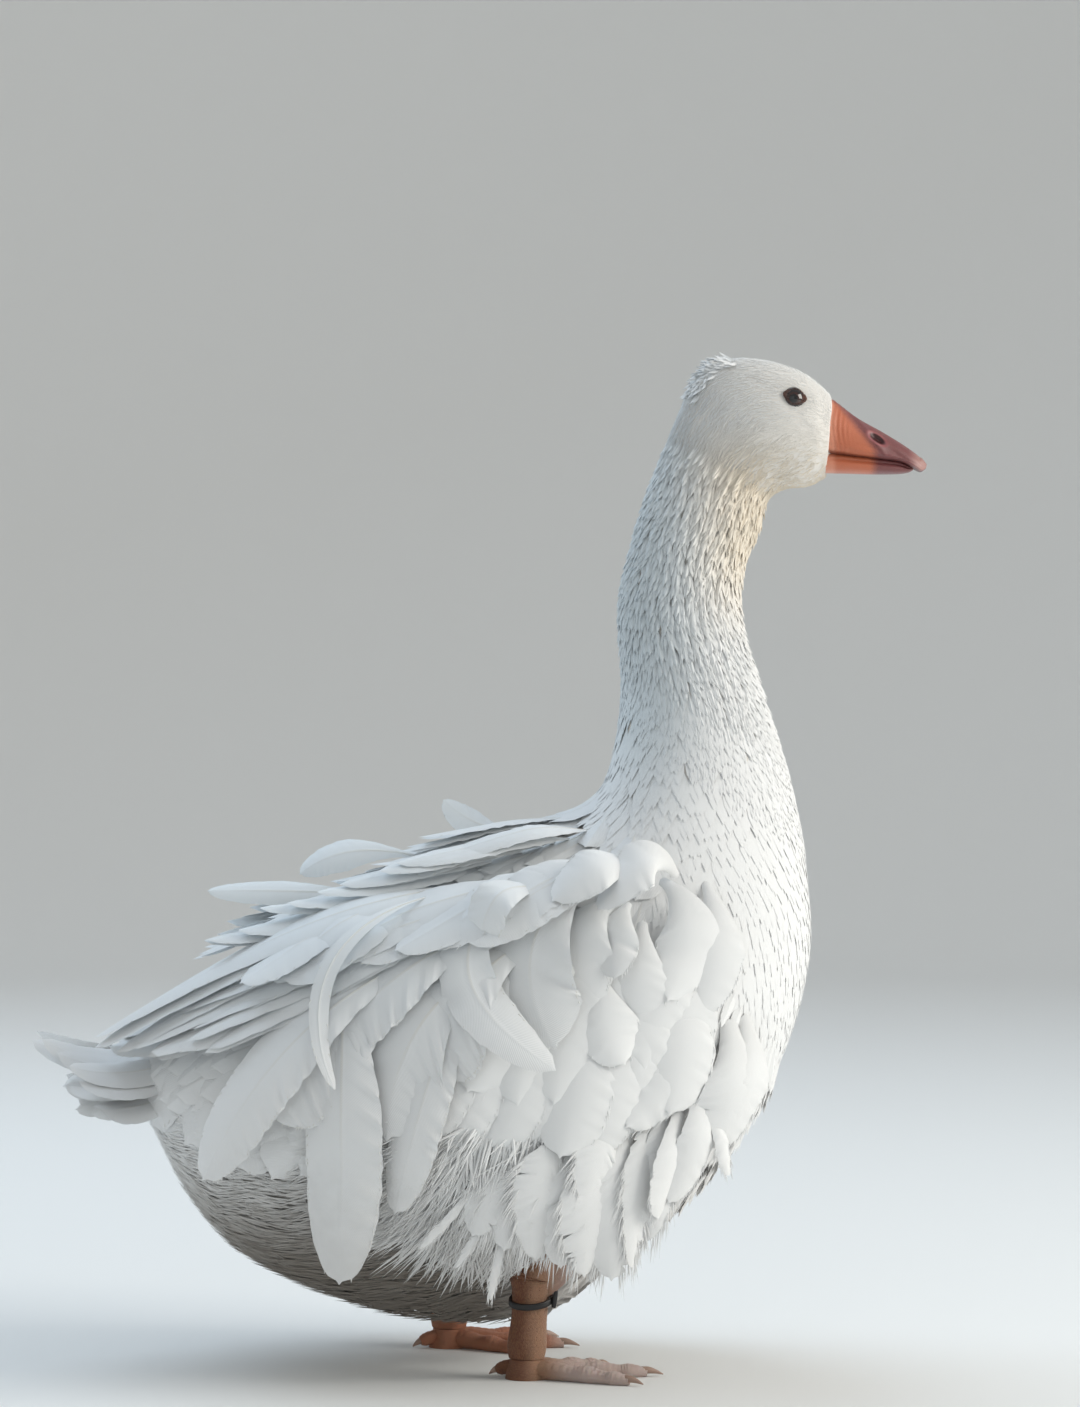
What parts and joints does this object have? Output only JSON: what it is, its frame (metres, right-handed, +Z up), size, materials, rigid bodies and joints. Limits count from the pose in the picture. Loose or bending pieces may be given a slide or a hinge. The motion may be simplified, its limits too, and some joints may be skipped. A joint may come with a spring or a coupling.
{
  "type": "sebastopol goose",
  "caption": "Life-size still model of a standing Sebastopol goose with long curled and drooping feathers, raised neck, webbed feet and a plain leg band.",
  "frame": {"origin": "on the floor, under the middle of the model's box", "axes": "+X the way the goose faces, +Y its left side, +Z up from the soles"},
  "size_m": [0.5414, 0.3102, 0.602],
  "materials": {
    "white_plumage": "soft white feather vanes",
    "orange_bill": "satin orange horn, pinkish brown towards the tip",
    "orange_leg_skin": "scaly dull orange skin",
    "dark_eye": "wet dark brown",
    "black_plastic": "moulded black"
  },
  "bodies": {
    "root": {"torso": "white_plumage", "neck": "white_plumage", "head": "white_plumage", "eye_right": "dark_eye", "eye_left": "dark_eye", "bill_upper": "orange_bill", "bill_lower": "orange_bill", "wing_right": "white_plumage", "wing_left": "white_plumage", "tail": "white_plumage", "thigh_right": "white_plumage", "thigh_left": "white_plumage", "shank_right": "orange_leg_skin", "shank_left": "orange_leg_skin", "foot_right": "orange_leg_skin", "foot_left": "orange_leg_skin", "leg_band": "black_plastic"}
  },
  "joints": []
}
